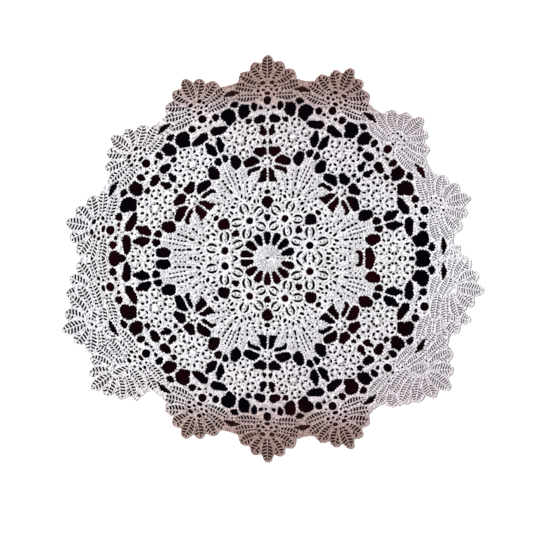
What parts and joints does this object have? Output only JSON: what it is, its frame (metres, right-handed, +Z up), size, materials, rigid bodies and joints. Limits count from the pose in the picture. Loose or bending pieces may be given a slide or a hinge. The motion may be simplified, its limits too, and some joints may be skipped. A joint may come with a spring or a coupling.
{
  "type": "lace coaster",
  "caption": "Flat round lace coaster of white openwork embroidery with flowers, spoked wheels and a scalloped leaf border, laid on a table under a cup, glass or vase.",
  "frame": {"origin": "centre of the coaster on the surface that it lies on", "axes": "+Z up out of the right side of the lace, +Y towards the scallop at the top of the picture, +X to the right"},
  "size_m": [0.2067, 0.2, 0.0019],
  "materials": {
    "lace_thread": "matt white embroidery thread, tan at the upper and lower rim"
  },
  "bodies": {
    "root": {"lace": "lace_thread"}
  },
  "joints": []
}
